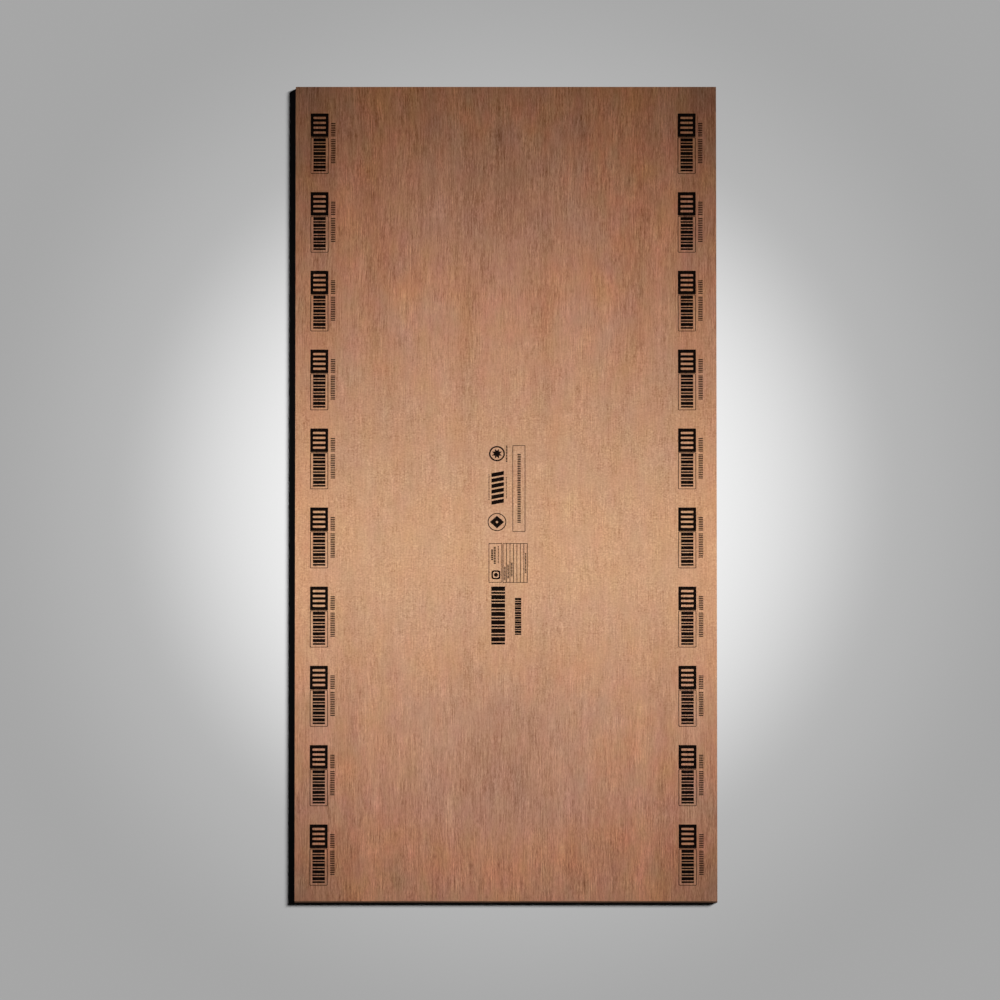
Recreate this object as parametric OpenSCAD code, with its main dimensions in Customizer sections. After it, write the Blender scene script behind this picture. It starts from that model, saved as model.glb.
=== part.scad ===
// Plywood sheet
//
// One full sheet of waterproof plywood, trimmed square on its four edges and
// sanded on both faces. It lies flat. The origin is at the centre of the back
// face, so the sheet stands from z = 0 up to its thickness. The face grain and
// the two long edges run along Y. All sizes are in millimetres.

/* [Sheet] */
// Width, across the face grain
sheet_width = 1220; // [600:10:1530]
// Length, along the face grain
sheet_length = 2440; // [1200:10:3050]
// Thickness, over both face veneers
sheet_thickness = 19; // [6:1:30]

/* [Edges] */
// Flat that sanding leaves on each edge between a face and a side, measured along the face
edge_ease = 0.5; // [0.2:0.1:2]
// Radius that trimming and handling leave on the four corners, seen from above
corner_radius = 1.5; // [0.5:0.5:10]

/* [Hidden] */
$fn = 64;
wood = "burlywood";
// Length that each cutting profile runs past the sheet at both ends
overrun = 5;

// Outline of the sheet from above: a rectangle with four round corners
module sheet_outline() {
    square([sheet_width - 2 * corner_radius, sheet_length], center = true);
    square([sheet_width, sheet_length - 2 * corner_radius], center = true);
    for (side_x = [-1, 1], side_y = [-1, 1])
        translate([side_x * (sheet_width / 2 - corner_radius),
                   side_y * (sheet_length / 2 - corner_radius)])
            circle(r = corner_radius);
}

// Section of the sheet across a span: a rectangle with its four corners eased
module eased_section(span) {
    half = span / 2;
    polygon([
        [-half + edge_ease, 0],
        [half - edge_ease, 0],
        [half, edge_ease],
        [half, sheet_thickness - edge_ease],
        [half - edge_ease, sheet_thickness],
        [-half + edge_ease, sheet_thickness],
        [-half, sheet_thickness - edge_ease],
        [-half, edge_ease]
    ]);
}

// Bar with the eased section of the given span, standing on z = 0 and running along Y
module eased_bar(span, run) {
    translate([0, run / 2 + overrun, 0])
        rotate([90, 0, 0])
            linear_extrude(height = run + 2 * overrun)
                eased_section(span);
}

module plywood_sheet() {
    color(wood)
        intersection() {
            linear_extrude(height = sheet_thickness)
                sheet_outline();
            eased_bar(sheet_width, sheet_length);
            rotate([0, 0, 90])
                eased_bar(sheet_length, sheet_width);
        }
}

plywood_sheet();
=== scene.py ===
import math

import bpy
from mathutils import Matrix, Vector, geometry, noise


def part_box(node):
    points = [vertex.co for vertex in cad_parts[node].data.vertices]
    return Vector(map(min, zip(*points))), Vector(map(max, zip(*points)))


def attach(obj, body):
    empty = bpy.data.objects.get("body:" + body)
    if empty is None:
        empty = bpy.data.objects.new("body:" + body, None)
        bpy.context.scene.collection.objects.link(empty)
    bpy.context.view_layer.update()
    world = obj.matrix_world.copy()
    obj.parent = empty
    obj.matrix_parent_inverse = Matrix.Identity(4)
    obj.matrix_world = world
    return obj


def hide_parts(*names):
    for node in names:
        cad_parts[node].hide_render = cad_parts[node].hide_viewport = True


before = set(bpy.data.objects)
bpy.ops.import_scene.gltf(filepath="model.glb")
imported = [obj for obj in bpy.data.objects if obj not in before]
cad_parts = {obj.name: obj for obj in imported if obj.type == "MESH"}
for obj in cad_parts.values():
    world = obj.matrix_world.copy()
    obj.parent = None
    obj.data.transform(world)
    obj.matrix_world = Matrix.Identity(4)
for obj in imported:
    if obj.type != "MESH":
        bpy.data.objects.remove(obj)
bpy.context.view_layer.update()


# ---- Back veneer --------------------------------------------------------------------------
# The leaf of hardwood that the sheet lies on. It was peeled from a log, dried, glued to the
# core in a hot press and sanded, which rounded its rim.

MM = 0.001
sheet_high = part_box("plywood_sheet")[1]
half_width, half_length = sheet_high.x, sheet_high.y
veneer_thickness = 0.5 * MM
corner_radius = 1.5 * MM
rim_step = 8 * MM
rim_wander = 0.25 * MM
arc_steps = 4
slot_variety = 1.2
fill_spacing = 90 * MM
fill_margin = 20 * MM


def rim_loop(inset, wander=0, seed=0, pitch=rim_step, shares=(0,)):
    """Points round the sheet, anticlockwise, set in from its trimmed edges. wander sets them in further by
    chance, and shares puts several points in each run of one pitch, each at its share of it."""
    radius = max(corner_radius - inset, corner_radius / 5)
    reach_x, reach_y = half_width - inset - radius, half_length - inset - radius
    points = []
    for quarter in range(4):
        centre = Vector((reach_x * (1, -1, -1, 1)[quarter], reach_y * (1, 1, -1, -1)[quarter]))
        for step in range(arc_steps + 1):
            angle = math.radians(90 * (quarter + step / arc_steps))
            out = Vector((math.cos(angle), math.sin(angle)))
            points.append((centre + out * radius, out))
        run = 2 * (reach_x, reach_y)[quarter % 2]
        steps = round(2 * (half_width, half_length)[quarter % 2] / pitch)
        corner, ahead = points[-1][0], Vector((-out.y, out.x))
        for step in range(1, steps):
            stretch = 1 + slot_variety * noise.noise((step * 3.7, quarter * 5.3, 2))
            points += [(corner + ahead * run * (step + share * stretch) / steps, out) for share in shares]
    if not wander:
        return [point for point, out in points]
    return [point - out * wander * (0.5 + 0.5 * noise.noise((*point * 28, seed))) for point, out in points]


def solid(rows, heights, spacing=0):
    """Corners and faces of a closed solid through stacked rows. A row is a list of loops: an outline, then
    its holes. With a spacing, more points are spread over the two flat ends."""
    corners, faces, loop_starts = [], [], []
    for row, height in zip(rows, heights):
        starts = []
        for loop in row:
            starts.append(len(corners))
            corners += [(x, y, height) for x, y in loop]
        loop_starts.append(starts)
    for lower, upper in zip(loop_starts, loop_starts[1:]):
        for start, above, loop in zip(lower, upper, rows[0]):
            turn = 1 if start == lower[0] else -1
            for place in range(len(loop)):
                after = (place + 1) % len(loop)
                faces.append((start + place, start + after, above + after, above + place)[::turn])
    for end, turn in ((0, -1), (-1, 1)):
        row, starts, height = rows[end], loop_starts[end], heights[end]
        points = [Vector(point) for loop in row for point in loop]
        borders, first = [], 0
        for loop in row:
            borders.append(list(range(first, first + len(loop))))
            first += len(loop)
        known = list(range(starts[0], starts[0] + first))
        if spacing:
            across, along = int(half_width / spacing), int(half_length / spacing)
            for column in range(-across, across + 1):
                for line in range(-along, along + 1):
                    spot = Vector((column * spacing, line * spacing))
                    if half_width - abs(spot.x) > fill_margin and half_length - abs(spot.y) > fill_margin:
                        points.append(spot)
                        known.append(len(corners))
                        corners.append((spot.x, spot.y, height))
        found = geometry.delaunay_2d_cdt(points, [], borders, 2, 1e-7)
        names = [known[came[0]] for came in found[3]]
        faces += [tuple(names[corner] for corner in face)[::turn] for face in found[2]]
    return corners, faces


def plain_mesh(name, solids):
    """One mesh of closed solids, each given as its corners and faces."""
    corners, faces = [], []
    for more_corners, more_faces in solids:
        faces += [tuple(len(corners) + corner for corner in face) for face in more_faces]
        corners += more_corners
    mesh = bpy.data.meshes.new(name)
    mesh.from_pydata(corners, [], faces)
    mesh.update()
    return mesh


def shown(name, mesh):
    """An object for a mesh, in the scene and at the origin."""
    piece = bpy.data.objects.new(name, mesh)
    bpy.context.scene.collection.objects.link(piece)
    return piece


def map_veneer(mesh, outwards):
    """Lays the outer face over nearly the whole square that textures are baked on, and the glued face in a
    strip."""
    layer = mesh.uv_layers.new(name="OFBake")
    for face in mesh.polygons:
        glued = face.normal.z * outwards < -0.5
        for loop, vertex in zip(face.loop_indices, face.vertices):
            x, y, z = mesh.vertices[vertex].co
            across, along = 0.5 + 0.495 * x / half_width, 0.5 + 0.495 * y / half_length
            layer.data[loop].uv = (along, 0.03 * across) if glued else (across, 0.04 + 0.955 * along)


def rounded_rim(seed):
    """Rows and heights of a veneer, from its outer face up to its glued face."""
    rows, heights = [], []
    for angle in (0, 30, 60, 90):
        turn = math.radians(angle)
        rows.append([rim_loop(veneer_thickness * (1 - math.sin(turn)), rim_wander * math.cos(turn), seed)])
        heights.append(veneer_thickness * (1 - math.cos(turn)))
    return rows, heights


class Tone:
    """A socket of a node tree. Maths on Tones adds the nodes for it, and node() adds any other node."""

    def __init__(self, tree, socket=None):
        self.tree, self.socket = tree, socket

    def node(self, kind, settings=None, sockets=None, output=0):
        made = self.tree.nodes.new(kind)
        for name, value in (settings or {}).items():
            setattr(made, name, value)
        for name, value in (sockets or {}).items():
            if isinstance(value, Tone):
                self.tree.links.new(value.socket, made.inputs[name])
            else:
                made.inputs[name].default_value = value
        return Tone(self.tree, made.outputs[output] if made.outputs else None)

    def maths(self, operation, *values):
        return self.node("ShaderNodeMath", {"operation": operation}, dict(enumerate(values)))

    def __add__(self, other):
        return self.maths("ADD", self, other)

    def __sub__(self, other):
        return self.maths("SUBTRACT", self, other)

    def __rsub__(self, other):
        return self.maths("SUBTRACT", other, self)

    def __mul__(self, other):
        return self.maths("MULTIPLY", self, other)

    def __truediv__(self, other):
        return self.maths("DIVIDE", self, other)

    __radd__, __rmul__ = __add__, __mul__

    def size(self):
        return self.maths("ABSOLUTE", self)

    def step(self, start, end):
        """0 before start, 1 past end and smooth between them."""
        sockets = {"Value": self, "From Min": start, "From Max": end}
        return self.node("ShaderNodeMapRange", {"interpolation_type": "SMOOTHSTEP"}, sockets)

    def blend(self, colour, other, share):
        """One colour turning into another as share goes from 0 to 1."""
        sockets = {"Factor": share, 6: colour, 7: other}
        return self.node("ShaderNodeMix", {"data_type": "RGBA"}, sockets, 2)

    def shade(self, colour):
        """A colour made lighter or darker by this number."""
        return self.node("ShaderNodeVectorMath", {"operation": "SCALE"}, {0: colour, "Scale": self})

    def stain(self, colour, shares):
        """A colour with its red, green and blue each raised by this number times its share."""
        sockets = {0: colour, 1: self.shade(shares), 2: colour}
        return self.node("ShaderNodeVectorMath", {"operation": "MULTIPLY_ADD"}, sockets)

    def figure(self, across, along, seed, detail=2):
        """Cloudy noise from 0 to 1. across and along say how fine it is each way of the grain."""
        across, along = self.x * across, self.y * along
        place = self.node("ShaderNodeCombineXYZ", {}, {"X": across, "Y": along, "Z": seed})
        return self.node("ShaderNodeTexNoise", {}, {"Vector": place, "Scale": 1, "Detail": detail})


def new_paint(name):
    """An empty material, with the place on the piece read as x across the grain, y along it and z up."""
    material = bpy.data.materials.new(name)
    material.use_nodes = True
    material.node_tree.nodes.clear()
    paint = Tone(material.node_tree)
    place = paint.node("ShaderNodeTexCoord", output="Object")
    for axis, letter in enumerate("xyz"):
        setattr(paint, letter, paint.node("ShaderNodeSeparateXYZ", {}, {0: place}, axis))
    return material, paint


def finish_paint(paint, colour, roughness, height, shine, depth):
    """Joins a colour, a roughness and a height in metres to one shader."""
    bump = paint.node("ShaderNodeBump", {}, {"Height": height, "Distance": depth})
    sockets = {"Base Color": colour, "Roughness": roughness, "Normal": bump, "Specular IOR Level": shine}
    shader = paint.node("ShaderNodeBsdfPrincipled", {}, sockets)
    paint.node("ShaderNodeOutputMaterial", {}, {"Surface": shader})


def veneer_grain(paint, seed):
    """A sanded face of peeled veneer: its grain round 0, and its pores, patches and bands from 0 to 1."""
    x, y = paint.x, paint.y
    bend = paint.figure(5, 1.6, seed, 1) * 0.030 + paint.figure(30, 6, seed + 1, 1) * 0.004
    paint.x = (x + bend - 0.017).size()
    bands = paint.figure(14, 1.1, seed + 2, 2)
    patches = paint.figure(12, 7, seed + 3, 2)
    paint.x = x + bend
    ribbons = paint.figure(75, 5, seed + 4, 2)
    streaks = paint.figure(290, 21, seed + 5, 2)
    lines = paint.figure(400, 8, seed + 6, 1)
    fibres = paint.figure(560, 75, seed + 7, 1)
    hairs = paint.figure(2400, 130, seed + 8, 1)
    pores = paint.figure(900, 70, seed + 9, 1).step(0.60, 0.72)
    threads = paint.figure(85, 7, seed + 10, 1).step(0.60, 0.74)
    mottle = paint.figure(150, 210, seed + 11, 2)
    paint.y = y + (ribbons - 0.5) * 0.05
    ripple = paint.figure(14, 150, seed + 12, 1)
    paint.x, paint.y = x, y
    middle = (y + 0.1).size().step(0.75, 0.15)
    long_grain = (bands - 0.5) * 0.20 + (ribbons - 0.5) * 0.22
    long_grain = long_grain + (streaks - 0.5) * 0.52 + (lines - 0.5) * 0.26
    short_grain = (fibres - 0.5) * 0.38 + (hairs - 0.5) * 0.30 - threads * 0.025
    curl = (mottle - 0.5) * 0.62 + (ripple - 0.5) * 0.26
    depth = 0.72 + paint.figure(16, 11, seed + 13, 1).step(0.36, 0.62) * 0.48
    grain = ((long_grain + short_grain) * (1 - middle * 0.15) + curl * (0.12 + middle * 0.88)) * depth
    return grain, pores, patches, bands


def veneer_paint(name, seed):
    """The finish of one veneer face, redder towards its ends and greyer in the middle, the grey partly a
    painted sheen, and darker at its corners in painted shade.
    """
    material, paint = new_paint(name)
    grain, pores, patches, bands = veneer_grain(paint, seed)
    x, y = paint.x, paint.y
    ends = (y + 0.1).size().step(0.1, 1.1)
    tint = paint.figure(24, 10, seed + 20, 2)
    # Partly the veneer's own colour and partly a painted sheen: greyer and a little paler in the middle,
    # where the lamps are brightest.
    colour = paint.blend((0.455, 0.262, 0.160, 1), (0.475, 0.212, 0.116, 1), ends)
    rim = (x + (bands - 0.5) * 0.10).size().step(0.44, 0.60) + y.size().step(1.10, 1.22) * 0.5
    colour = paint.blend(colour, (0.510, 0.252, 0.136, 1), rim * 0.50)
    # Painted shade: darker towards the long edges and most at the corners, where the lamps fall off.
    painted_corner_shade = x.size().step(0.42, 0.60) * (y + 0.1).size().step(0.2, 1.5)
    colour = painted_corner_shade.stain(colour, (-0.26, -0.29, -0.24))
    stained = 0.60 + ends * 0.80
    colour = ((patches - 0.5) * stained).stain(colour, (0.18, 0.04, -0.42))
    colour = ((tint - 0.5) * stained).stain(colour, (0.15, -0.17, 0.08))
    wander = (tint + patches - 1) * 0.16
    far = ((y - 0.05 + wander).size() - 0.85) / 0.25
    side = (x + 0.015 + wander) / 0.34
    smoke = (side * side + far * far).step(1.5, 0.2)
    core = (side * side * 9 + far * far * 1.5).step(1.3, 0.1)
    colour = paint.blend(colour, (0.400, 0.240, 0.170, 1), smoke * 0.36)
    light = grain * (1.17 + ends * 0.90) - pores * 0.035 - core * 0.09
    colour = light.stain(colour, (1, 1.3, 1.6))
    roughness = 0.56 + pores * 0.14 - (bands - 0.5) * 0.08
    finish_paint(paint, colour, roughness, grain - pores * 0.8, 0.35, 0.05 * MM)
    return material


rows, heights = rounded_rim(seed=3)
back_mesh = plain_mesh("back_veneer", [solid(rows, heights, fill_spacing)])
map_veneer(back_mesh, outwards=-1)
back_veneer = shown("back_veneer", back_mesh)
back_mesh.materials.append(veneer_paint("sanded_back_veneer", 40))
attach(back_veneer, "root")
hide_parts("plywood_sheet")


# ---- Core plies ---------------------------------------------------------------------------
# Nine thicker leaves of hardwood, each turned a quarter from the one below, glued under heat
# with dark waterproof resin. The saw trimmed them all at once, and shows their grain in turn.

ply_count = 9
core_thickness = sheet_high.z - 2 * veneer_thickness
ply_pitch = core_thickness / ply_count
ply_ease = 0.10 * MM
ply_rows = [(ply_ease, 0.0), (0, 0.12), (0, 0.5), (0, 0.88), (ply_ease, 1.0)]
slot_pitch = 24 * MM
slot_shares = (0, 0.0125, 0.125, 0.1375)
wall_limit, slot_limit, rim_depth = 1 * MM, 8 * MM, 5 * MM


def new_tree(name, kinds):
    """An empty Geometry Nodes tree with these inputs. Returns a Tone of it, and the inputs by name."""
    tree = bpy.data.node_groups.new(name, "GeometryNodeTree")
    for socket_name, kind in kinds.items():
        tree.interface.new_socket(socket_name, in_out="INPUT", socket_type="NodeSocket" + kind)
    tree.interface.new_socket("Result", in_out="OUTPUT", socket_type="NodeSocketGeometry")
    entry = tree.nodes.new("NodeGroupInput")
    return Tone(tree), {socket.name: Tone(tree, socket) for socket in entry.outputs if socket.name}


def finish_tree(start, geometry, material):
    """Makes real meshes of the copies, gives them their material and hands them out of the tree."""
    real = start.node("GeometryNodeRealizeInstances", {}, {"Geometry": geometry})
    dressed = start.node("GeometryNodeSetMaterial", {}, {"Geometry": real, "Material": material})
    exit_node = start.tree.nodes.new("NodeGroupOutput")
    start.tree.links.new(dressed.socket, exit_node.inputs[0])
    return start.tree


def ply_tree():
    """Stacks copies of one ply and sets each rim in by chance. A few of the places where two strips of a
    cross ply meet are left open, as deep slots."""
    kinds = {"Ply": "Geometry", "Plies": "Int", "Pitch": "Float", "Bottom": "Float", "Saw marks": "Float",
             "Gap depth": "Float", "Gap share": "Float", "Seed": "Int", "Wood": "Material"}
    start, given = new_tree("glued_plies", kinds)
    lift = start.node("ShaderNodeCombineXYZ", {}, {"Z": given["Pitch"]})
    base = start.node("ShaderNodeCombineXYZ", {}, {"Z": given["Bottom"]})
    line = start.node("GeometryNodeMeshLine", {},
                      {"Count": given["Plies"], "Start Location": base, "Offset": lift})
    number = start.node("GeometryNodeInputIndex")
    numbered = start.node("GeometryNodeStoreNamedAttribute", {"data_type": "FLOAT", "domain": "POINT"},
                          {"Geometry": line, "Name": "ply", "Value": number})
    copies = start.node("GeometryNodeInstanceOnPoints", {}, {"Points": numbered, "Instance": given["Ply"]})
    stack = start.node("GeometryNodeRealizeInstances", {}, {"Geometry": copies})
    ply = start.node("GeometryNodeInputNamedAttribute", {"data_type": "FLOAT"}, {"Name": "ply"})
    out = start.node("GeometryNodeInputNamedAttribute", {"data_type": "FLOAT_VECTOR"}, {"Name": "out"})
    joint = start.node("GeometryNodeInputNamedAttribute", {"data_type": "FLOAT"}, {"Name": "joint"})
    place = start.node("GeometryNodeInputPosition")
    chance = ply * 7.3 + given["Seed"]
    fine = start.node("ShaderNodeTexNoise", {"noise_dimensions": "4D"},
                      {"Vector": place, "W": chance, "Scale": 70})
    odd = ply.maths("MODULO", ply, 2)
    long_edge = start.node("ShaderNodeSeparateXYZ", {}, {0: out}).size()
    cross_ply = odd + long_edge - 2 * odd * long_edge
    luck = start.node("ShaderNodeTexWhiteNoise", {"noise_dimensions": "1D"}, {"W": joint * 13.7 + chance})
    is_joint = joint.maths("GREATER_THAN", joint, 0.5)
    is_open = luck.maths("LESS_THAN", luck, given["Gap share"]) * is_joint * cross_ply
    inset = fine * given["Saw marks"] + is_open * given["Gap depth"] * (0.4 + fine)
    shift = start.node("ShaderNodeVectorMath", {"operation": "SCALE"}, {0: out, "Scale": 0 - inset})
    cut = start.node("GeometryNodeSetPosition", {}, {"Geometry": stack, "Offset": shift})
    return finish_tree(start, cut, given["Wood"])


def grown(name, mesh, tree, values):
    """The plain mesh that a Geometry Nodes tree makes from a mesh, as a new object."""
    seedling = shown(name, mesh)
    modifier = seedling.modifiers.new(name, "NODES")
    modifier.node_group = tree
    for socket in tree.interface.items_tree:
        if socket.in_out == "INPUT" and socket.name in values:
            modifier[socket.identifier] = values[socket.name]
    bpy.context.view_layer.update()
    evaluated = seedling.evaluated_get(bpy.context.evaluated_depsgraph_get())
    result = bpy.data.meshes.new_from_object(evaluated)
    seedling.modifiers.clear()
    seedling.data = result
    result.name = name
    return seedling


def map_core(mesh):
    """Cuts the trimmed edges into rows on the square that textures are baked on, and sets the glued faces
    small."""
    layer = mesh.uv_layers.new(name="OFBake")
    for face in mesh.polygons:
        middle = face.center
        flat = abs(face.normal.z) > 0.7
        long_edge = abs(middle.x) / half_width > abs(middle.y) / half_length
        parts, reach = (3, half_length) if long_edge else (2, half_width)
        way = middle.y if long_edge else middle.x
        part = min(int((0.5 + 0.5 * way / reach) * parts), parts - 1)
        row = part + (0 if long_edge else 6) + (parts if (middle.x if long_edge else middle.y) > 0 else 0)
        level = round(middle.z / ply_pitch * 2)
        for loop, vertex in zip(face.loop_indices, face.vertices):
            x, y, z = mesh.vertices[vertex].co
            if flat:
                spot = ((level + 0.5 + 0.45 * x / half_width) / 20, 0.95 + 0.045 * y / half_length)
            else:
                along = (0.5 + 0.5 * (y if long_edge else x) / reach) * parts - part
                up = (z - veneer_thickness) / core_thickness
                spot = (0.01 + 0.98 * along, (row + 0.08 + 0.84 * up) * 0.09)
            layer.data[loop].uv = spot


def core_paint():
    """Sawn ply edges: long grain and end grain in turn, with a dark glue line between two plies."""
    material, paint = new_paint("sawn_ply_edges")
    x, y, z = paint.x, paint.y, paint.z
    ply = paint.node("ShaderNodeAttribute", {"attribute_name": "ply"}, {}, "Fac")
    odd = ply.maths("MODULO", ply, 2)
    long_edge = (x.size() - y.size() + (half_length - half_width)).step(-0.1 * MM, 0.1 * MM)
    end_grain = odd + long_edge - 2 * odd * long_edge
    run = y * long_edge + x * (1 - long_edge)
    paint.x, paint.y = z, run
    fibres = paint.figure(2600, 22, 1, 2)
    streaks = paint.figure(900, 5, 2, 2)
    cells = paint.figure(1300, 1300, 3, 1)
    checks = paint.figure(70, 420, 4, 1).step(0.60, 0.70)
    tint = paint.node("ShaderNodeTexNoise", {"noise_dimensions": "1D"},
                      {"W": ply * 3.7 + 0.4, "Scale": 1, "Detail": 0})
    rise = paint.maths("FRACT", (z - veneer_thickness) / ply_pitch)
    glue = (0.5 - (rise - 0.5).size()).step(0.10, 0.03)
    long_light = 0.66 + fibres * 0.46 + streaks * 0.36
    end_light = 0.32 + cells * 0.48 - checks * 0.20
    light = long_light * (1 - end_grain) + end_light * end_grain
    wood = paint.blend((0.43, 0.235, 0.135, 1), (0.36, 0.175, 0.098, 1), tint.step(0.35, 0.65))
    colour = (light * (0.86 + tint * 0.28)).shade(wood)
    colour = paint.blend(colour, (0.060, 0.026, 0.014, 1), glue * 0.85)
    roughness = 0.74 + end_grain * 0.12 - glue * 0.20
    height = fibres * (1 - end_grain) * 0.5 + (cells - checks) * end_grain - glue
    finish_paint(paint, colour, roughness, height, 0.25, 0.08 * MM)
    return material


ply_loops = [[rim_loop(inset, 0, 0, slot_pitch, slot_shares)] for inset, _ in ply_rows]
ply_heights = [share * ply_pitch for _, share in ply_rows]
ply_mesh = plain_mesh("core_plies", [solid(ply_loops, ply_heights, fill_spacing)])
ply_mesh.attributes.new("out", "FLOAT_VECTOR", "POINT")
ply_mesh.attributes.new("joint", "FLOAT", "POINT")
out_values, joint_values = (ply_mesh.attributes[name].data for name in ("out", "joint"))
rim = [Vector(point) for point in ply_loops[0][0]]
joint_numbers = []
for place, point in enumerate(rim):
    before, after = (point - rim[place - 1]).length, (rim[(place + 1) % len(rim)] - point).length
    between_walls = min(before, after) < wall_limit < max(before, after) < slot_limit
    joint_numbers.append((place if after > before else place - 1) if between_walls else 0)
for corner, out, joint in zip(ply_mesh.vertices, out_values, joint_values):
    side_gap, end_gap = half_width - abs(corner.co.x), half_length - abs(corner.co.y)
    if min(side_gap, end_gap) < rim_depth:
        sideways = (math.copysign(1, corner.co.x), 0, 0)
        out.vector = sideways if side_gap < end_gap else (0, math.copysign(1, corner.co.y), 0)
        joint.value = joint_numbers[corner.index % len(rim)]
core_plies = grown("core_plies", ply_mesh, ply_tree(),
                   {"Plies": ply_count, "Pitch": ply_pitch, "Bottom": veneer_thickness,
                    "Saw marks": 0.22 * MM, "Gap depth": 5 * MM, "Gap share": 0.06, "Seed": 5,
                    "Wood": core_paint()})
map_core(core_plies.data)
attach(core_plies, "root")
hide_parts("plywood_sheet")


# ---- Face veneer --------------------------------------------------------------------------
# The better leaf, picked for even colour. It is glued on with its grain along the sheet and
# sanded smooth.

rows, heights = rounded_rim(seed=8)
rows, heights = rows[::-1], [sheet_high.z - height for height in heights[::-1]]
face_mesh = plain_mesh("face_veneer", [solid(rows, heights, fill_spacing)])
map_veneer(face_mesh, outwards=1)
face_veneer = shown("face_veneer", face_mesh)
face_mesh.materials.append(veneer_paint("sanded_face_veneer", 7))
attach(face_veneer, "root")
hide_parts("plywood_sheet")


# ---- Edge stamps --------------------------------------------------------------------------
# Plain black stamps that a roller prints ten times down each side of the face. Each has a
# solid block with bare slots, an outline round a row of bars, and a row of fine ticks.

ink_low, ink_high = sheet_high.z - 0.03 * MM, sheet_high.z + 0.05 * MM
stamp_rows, stamp_pitch = 10, 236.8 * MM
columns_apart, stamps_centre = 1065 * MM, (-8.1 * MM, -16.9 * MM, 0)


def box_loop(x, y, wide, tall, radius=0):
    """A rectangle round a centre, in millimetres, with its corners rounded if a radius is given."""
    signs = ((1, 1), (-1, 1), (-1, -1), (1, -1))
    if not radius:
        return [(MM * (x + sx * wide / 2), MM * (y + sy * tall / 2)) for sx, sy in signs]
    loop = []
    for quarter, (sx, sy) in enumerate(signs):
        for step in range(5):
            angle = math.radians(90 * (quarter + step / 4))
            loop.append((MM * (x + sx * (wide / 2 - radius) + radius * math.cos(angle)),
                         MM * (y + sy * (tall / 2 - radius) + radius * math.sin(angle))))
    return loop


def ink(*loops):
    """One printed mark: an outline, then its bare places."""
    return solid([list(loops), list(loops)], [ink_low, ink_high])


def frame_mark(x, y, wide, tall, line, radius):
    """A printed outline with round corners."""
    return ink(box_loop(x, y, wide, tall, radius),
               box_loop(x, y, wide - 2 * line, tall - 2 * line, max(radius - line, line)))


def bars(x, top, wide, thick, gap, count, thin=None):
    """Printed bars across a column, from its top down. If thin is given, every second one is that thick."""
    marks = []
    for place in range(count):
        tall = thick if thin is None or place % 2 == 0 else thin
        marks.append(ink(box_loop(x, top - tall / 2, wide, tall)))
        top -= tall + gap
    return marks


def stamp_marks():
    """One stamp, round its own centre."""
    wide, tall, block, line = 52, 182, 71, 1.8
    top = tall / 2
    first_slot, slot_step = top - 13.5, 14.7
    slots = [box_loop(0, first_slot - slot_step * place, 36, 6.5, 2) for place in range(4)]
    marks = [ink(box_loop(0, top - block / 2, wide, block, 1.5), *slots)]
    rest = tall - block
    marks.append(frame_mark(0, -top + (rest - 1) / 2, wide, rest - 1, line, 3))
    marks += bars(0, top - block - 4, 36, 9.9, 2.5, 10, 5.5)
    marks += bars(39.5, 62, 13, 3, 2.3, 8) + bars(39.5, 13, 13, 3, 2.3, 14)
    return marks


def column_tree():
    """Copies one stamp down two columns."""
    kinds = {"Stamp": "Geometry", "Rows": "Int", "Run": "Float", "Columns apart": "Float",
             "Centre": "Vector", "Ink": "Material"}
    start, given = new_tree("stamp_columns", kinds)
    grid = start.node("GeometryNodeMeshGrid", {}, {"Size X": given["Columns apart"], "Size Y": given["Run"],
                                                  "Vertices X": 2, "Vertices Y": given["Rows"]})
    moved = start.node("GeometryNodeTransform", {}, {"Geometry": grid, "Translation": given["Centre"]})
    copies = start.node("GeometryNodeInstanceOnPoints", {}, {"Points": moved, "Instance": given["Stamp"]})
    return finish_tree(start, copies, given["Ink"])


def ink_paint():
    """Flat black marking ink, thin over the pores of the veneer."""
    material, paint = new_paint("stamp_ink")
    grain, pores = veneer_grain(paint, 7)[:2]
    thin = pores * paint.figure(60, 40, 70, 2).step(0.52, 0.66)
    black = paint.blend((0.0030, 0.0012, 0.0008, 1), (0.0065, 0.0034, 0.0024, 1), grain.step(-0.15, 0.2))
    colour = paint.blend(black, (0.16, 0.085, 0.050, 1), thin * 0.4)
    finish_paint(paint, colour, 0.70 + pores * 0.12, grain - pores * 0.8, 0.03, 0.03 * MM)
    return material


stamp_paint = ink_paint()
edge_stamps = grown("edge_stamps", plain_mesh("edge_stamps", stamp_marks()), column_tree(),
                    {"Rows": stamp_rows, "Run": (stamp_rows - 1) * stamp_pitch,
                     "Columns apart": columns_apart, "Centre": stamps_centre, "Ink": stamp_paint})
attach(edge_stamps, "root")
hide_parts("plywood_sheet")


# ---- Centre stamps ------------------------------------------------------------------------
# The larger print in the middle of the face: two round marks, a hatched block, a long box,
# a ruled label and two rows of bars, all in the same ink and all plain.


def disc_loop(x, y, radius, steps=40):
    """A circle round a centre, in millimetres."""
    turns = [math.tau * step / steps for step in range(steps)]
    return [(MM * (x + radius * math.cos(turn)), MM * (y + radius * math.sin(turn))) for turn in turns]


def star_loop(x, y, reach, waist, points):
    """A star round a centre, in millimetres."""
    loop = []
    for corner in range(2 * points):
        radius, turn = reach if corner % 2 else waist, math.pi * corner / points
        loop.append((MM * (x + radius * math.cos(turn)), MM * (y + radius * math.sin(turn))))
    return loop


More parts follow.
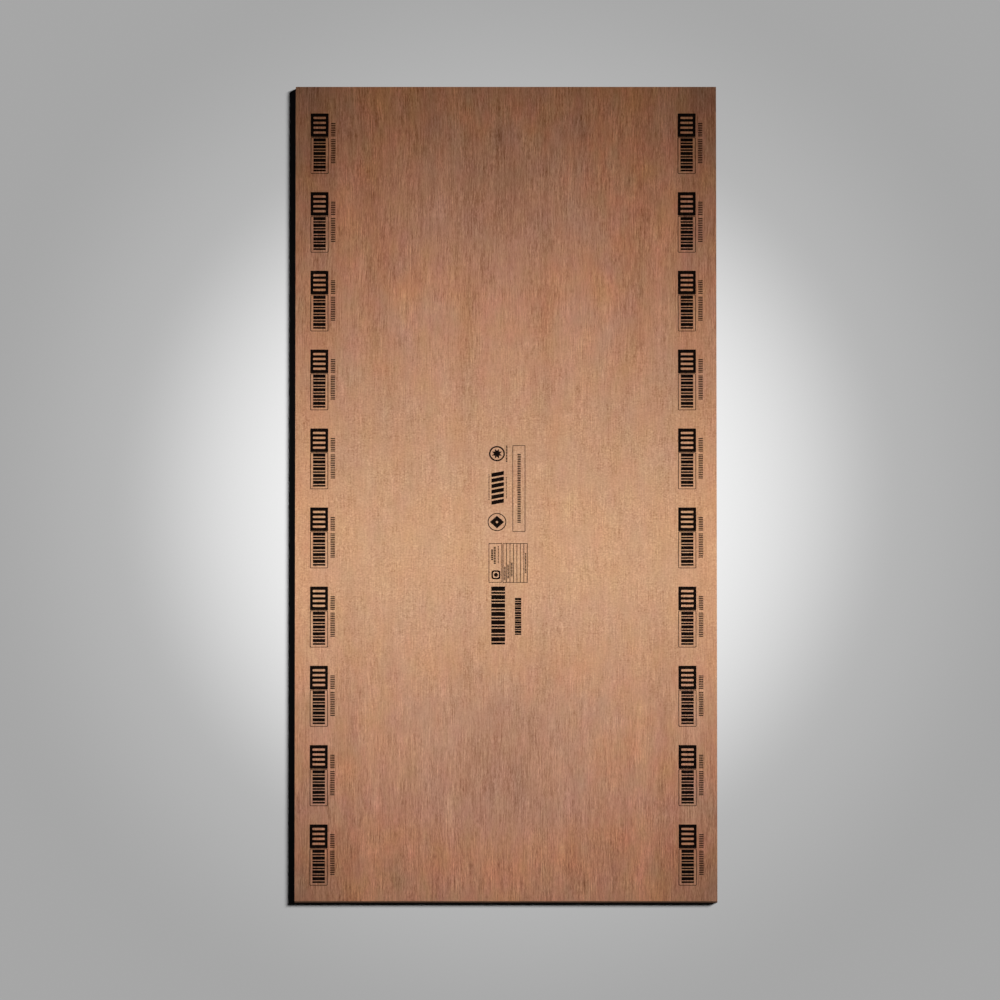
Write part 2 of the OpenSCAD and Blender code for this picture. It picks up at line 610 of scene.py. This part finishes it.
def round_marks():
    """A ring with a star, and a ring with a diamond."""
    x, star_y, diamond_y = -26, 117, -88
    marks = [ink(disc_loop(x, star_y, 23), disc_loop(x, star_y, 18.6)), ink(star_loop(x, star_y, 16, 8.5, 8))]
    marks += bars(2, 141, 4.6, 3.2, 1.4, 11)
    marks.append(ink(disc_loop(x, diamond_y, 27), disc_loop(x, diamond_y, 24.4)))
    corners = ((x + 20.5, diamond_y), (x, diamond_y + 19), (x - 20.5, diamond_y), (x, diamond_y - 19))
    diamond = [(MM * across, MM * along) for across, along in corners]
    marks.append(ink(diamond, disc_loop(x, diamond_y, 3.4, 12)))
    return marks


def hatched_block():
    """Six slanting bars, with a row of ticks on each side."""
    left, right, slope, thick = -42, -6, 7, 11.5
    marks = []
    for place in range(6):
        top = 65 - 16.6 * place
        corners = ((left, top - slope), (left, top - slope - thick), (right, top - thick), (right, top))
        marks.append(ink([(MM * x, MM * y) for x, y in corners]))
    return marks + bars(-49, 55, 2.6, 2.8, 1.8, 17) + bars(1, 46, 2.6, 2.8, 1.8, 14)


def ruled_label():
    """A box with a square mark and short rows, beside ruled lines with ticks between some of them."""
    y, tall, line, pitch, first_gap = -210.5, 118, 1.8, 10, -3.3
    marks = [frame_mark(-30.5, y, 39, tall, 1.7, 1.7)]
    marks += [frame_mark(-29, -246, 26, 27, 4.4, 7), ink(disc_loop(-29, -246, 6, 20))]
    marks += bars(-40, -170, 6, 4.0, 1.6, 6)
    marks += bars(-32.5, -162, 6, 3.2, 1.6, 11)
    marks += bars(-22, -160, 3, 2.8, 1.6, 12)
    gaps = [box_loop(first_gap + pitch * place, y, pitch - line, tall - 2 * line) for place in range(7)]
    marks.append(ink(box_loop(first_gap + 3 * pitch, y, 7 * pitch + line, tall), *gaps))
    for place in range(3):
        marks += bars(first_gap + pitch * place, -222 + 6 * place, 5, 2.6, 1.6, 10)
    return marks + bars(56.7, -181, 4, 2.8, 1.5, 14)


centre_marks = round_marks() + hatched_block() + ruled_label()
centre_marks += [frame_mark(37.5, 12.5, 37, 259, 1.7, 1.7)] + bars(38, 116, 9.5, 3.2, 2.0, 40)
centre_marks += bars(-22.5, -281, 40, 13.0, 3.0, 14, 6.2) + bars(35, -315, 18.6, 7.0, 1.5, 16, 4.0)
centre_stamps = shown("centre_stamps", plain_mesh("centre_stamps", centre_marks))
centre_stamps.data.materials.append(stamp_paint)
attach(centre_stamps, "root")
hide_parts("plywood_sheet")


# ---- Floor --------------------------------------------------------------------------------
# A plain pale studio floor, wide enough to fill every view. A round pool of light is painted on it
# under the sheet, paler in the middle, which gives the glow round its long sides.

floor_reach = 120
floor_mesh = bpy.data.meshes.new("floor")
floor_corners = [(x * floor_reach, y * floor_reach, 0) for x, y in ((-1, -1), (1, -1), (1, 1), (-1, 1))]
floor_mesh.from_pydata(floor_corners, [], [(0, 1, 2, 3)])
floor = shown("floor", floor_mesh)
floor_material, floor_paint = new_paint("pale_floor")
floor_x, floor_y = floor_paint.x, floor_paint.y * 0.966
spread = floor_x * floor_x + floor_y * floor_y
inner_reach, outer_reach = 1.158, 1.62
# Painted light: a round pool of light painted into the floor's colour, brightest under the sheet.
painted_light_pool = spread.step(inner_reach ** 2, 0) * 1.068 + spread.step(outer_reach ** 2, 0) * 0.410
speckle = floor_paint.figure(180, 180, 90, 2)
floor_colour = ((0.985 + speckle * 0.03) * (1 + painted_light_pool)).shade((0.30, 0.30, 0.30))
finish_paint(floor_paint, floor_colour, 0.9, speckle, 0.1, 0.02 * MM)
floor_mesh.materials.append(floor_material)


# ---- Studio light -------------------------------------------------------------------------
# The floor has one soft key from the right. The sheet has lamps of its own: a long soft box across
# it and two round floods from above, and low suns for its trimmed edges.


def lit_only(name, kind, settings, place, towards, pieces):
    """A light that shines on these pieces alone."""
    light = bpy.data.lights.new(name, kind)
    for setting, value in settings.items():
        setattr(light, setting, value)
    lamp = bpy.data.objects.new(name, light)
    bpy.context.scene.collection.objects.link(lamp)
    lamp.location = place
    lamp.rotation_mode = "QUATERNION"
    lamp.rotation_quaternion = (Vector(towards) - Vector(place)).to_track_quat("-Z", "Y")
    group = bpy.data.collections.new(name + " receivers")
    for piece in pieces:
        group.objects.link(piece)
    lamp.light_linking.receiver_collection = group


sheet_pieces = [back_veneer, core_plies, face_veneer, edge_stamps, centre_stamps]
for piece in sheet_pieces:
    piece.visible_diffuse = False  # no light bounces from the sheet to the floor
for name, energy, place, pieces in (("floor_key", 6.71, (23.6, 11, 19), [floor]),
                                    ("edge_key", 1.7, (23.6, 11, 2.6), sheet_pieces),
                                    ("edge_fill", 1.2, (-23, -4, 2.2), sheet_pieces),
                                    ("end_fill", 0.12, (5, -25, 2.2), sheet_pieces)):
    lit_only(name, "SUN", {"energy": energy, "angle": math.radians(17)}, place, (0, 0, 0), pieces)
glow = Vector((0, -0.16, 0))
strip = {"energy": 6.6, "shape": "RECTANGLE", "size": 5, "size_y": 0.1, "color": (1, 0.95, 0.62)}
lit_only("sheet_strip", "AREA", strip, glow + Vector((0, 0, 0.58)), glow, sheet_pieces)
flood_height = 8
for name, energy, reach, colour in (("sheet_wide", 1265, 2.0, (1, 0.86, 0.66)),
                                    ("sheet_flood", 830, 1.5, (0.80, 0.77, 1))):
    flood = {"energy": energy, "color": colour, "shadow_soft_size": 0.3,
             "spot_size": 2 * math.atan(reach / flood_height), "spot_blend": 1}
    lit_only(name, "SPOT", flood, glow + Vector((0, 0, flood_height)), glow, sheet_pieces)
world = bpy.data.worlds.new("studio")
world.use_nodes = True
background = world.node_tree.nodes["Background"]
background.inputs["Color"].default_value = (1, 1, 1, 1)
background.inputs["Strength"].default_value = 0.006
bpy.context.scene.world = world
bpy.context.scene.view_settings.view_transform = "Standard"


# ---- Camera -------------------------------------------------------------------------------
# A very long lens, so that the sheet's sides stay nearly parallel, 15 degrees off straight down.

camera = bpy.data.objects.new("camera", bpy.data.cameras.new("camera"))
bpy.context.scene.collection.objects.link(camera)
camera.data.lens = 1200
view_width = 2.894
distance = view_width * camera.data.lens / camera.data.sensor_width
elevation = math.radians(75)
back = Vector((0, -math.cos(elevation), math.sin(elevation)))
up = Vector((0, math.sin(elevation), math.cos(elevation)))
aim_left, aim_down = 0.0172, 0.0212
aim = Vector((0, 0, sheet_high.z)) - Vector((aim_left, 0, 0)) - up * aim_down
camera.location = aim + back * distance
camera.rotation_mode = "QUATERNION"
camera.rotation_quaternion = (-back).to_track_quat("-Z", "Y")
camera.data.clip_start, camera.data.clip_end = 1, 400
bpy.context.scene.camera = camera
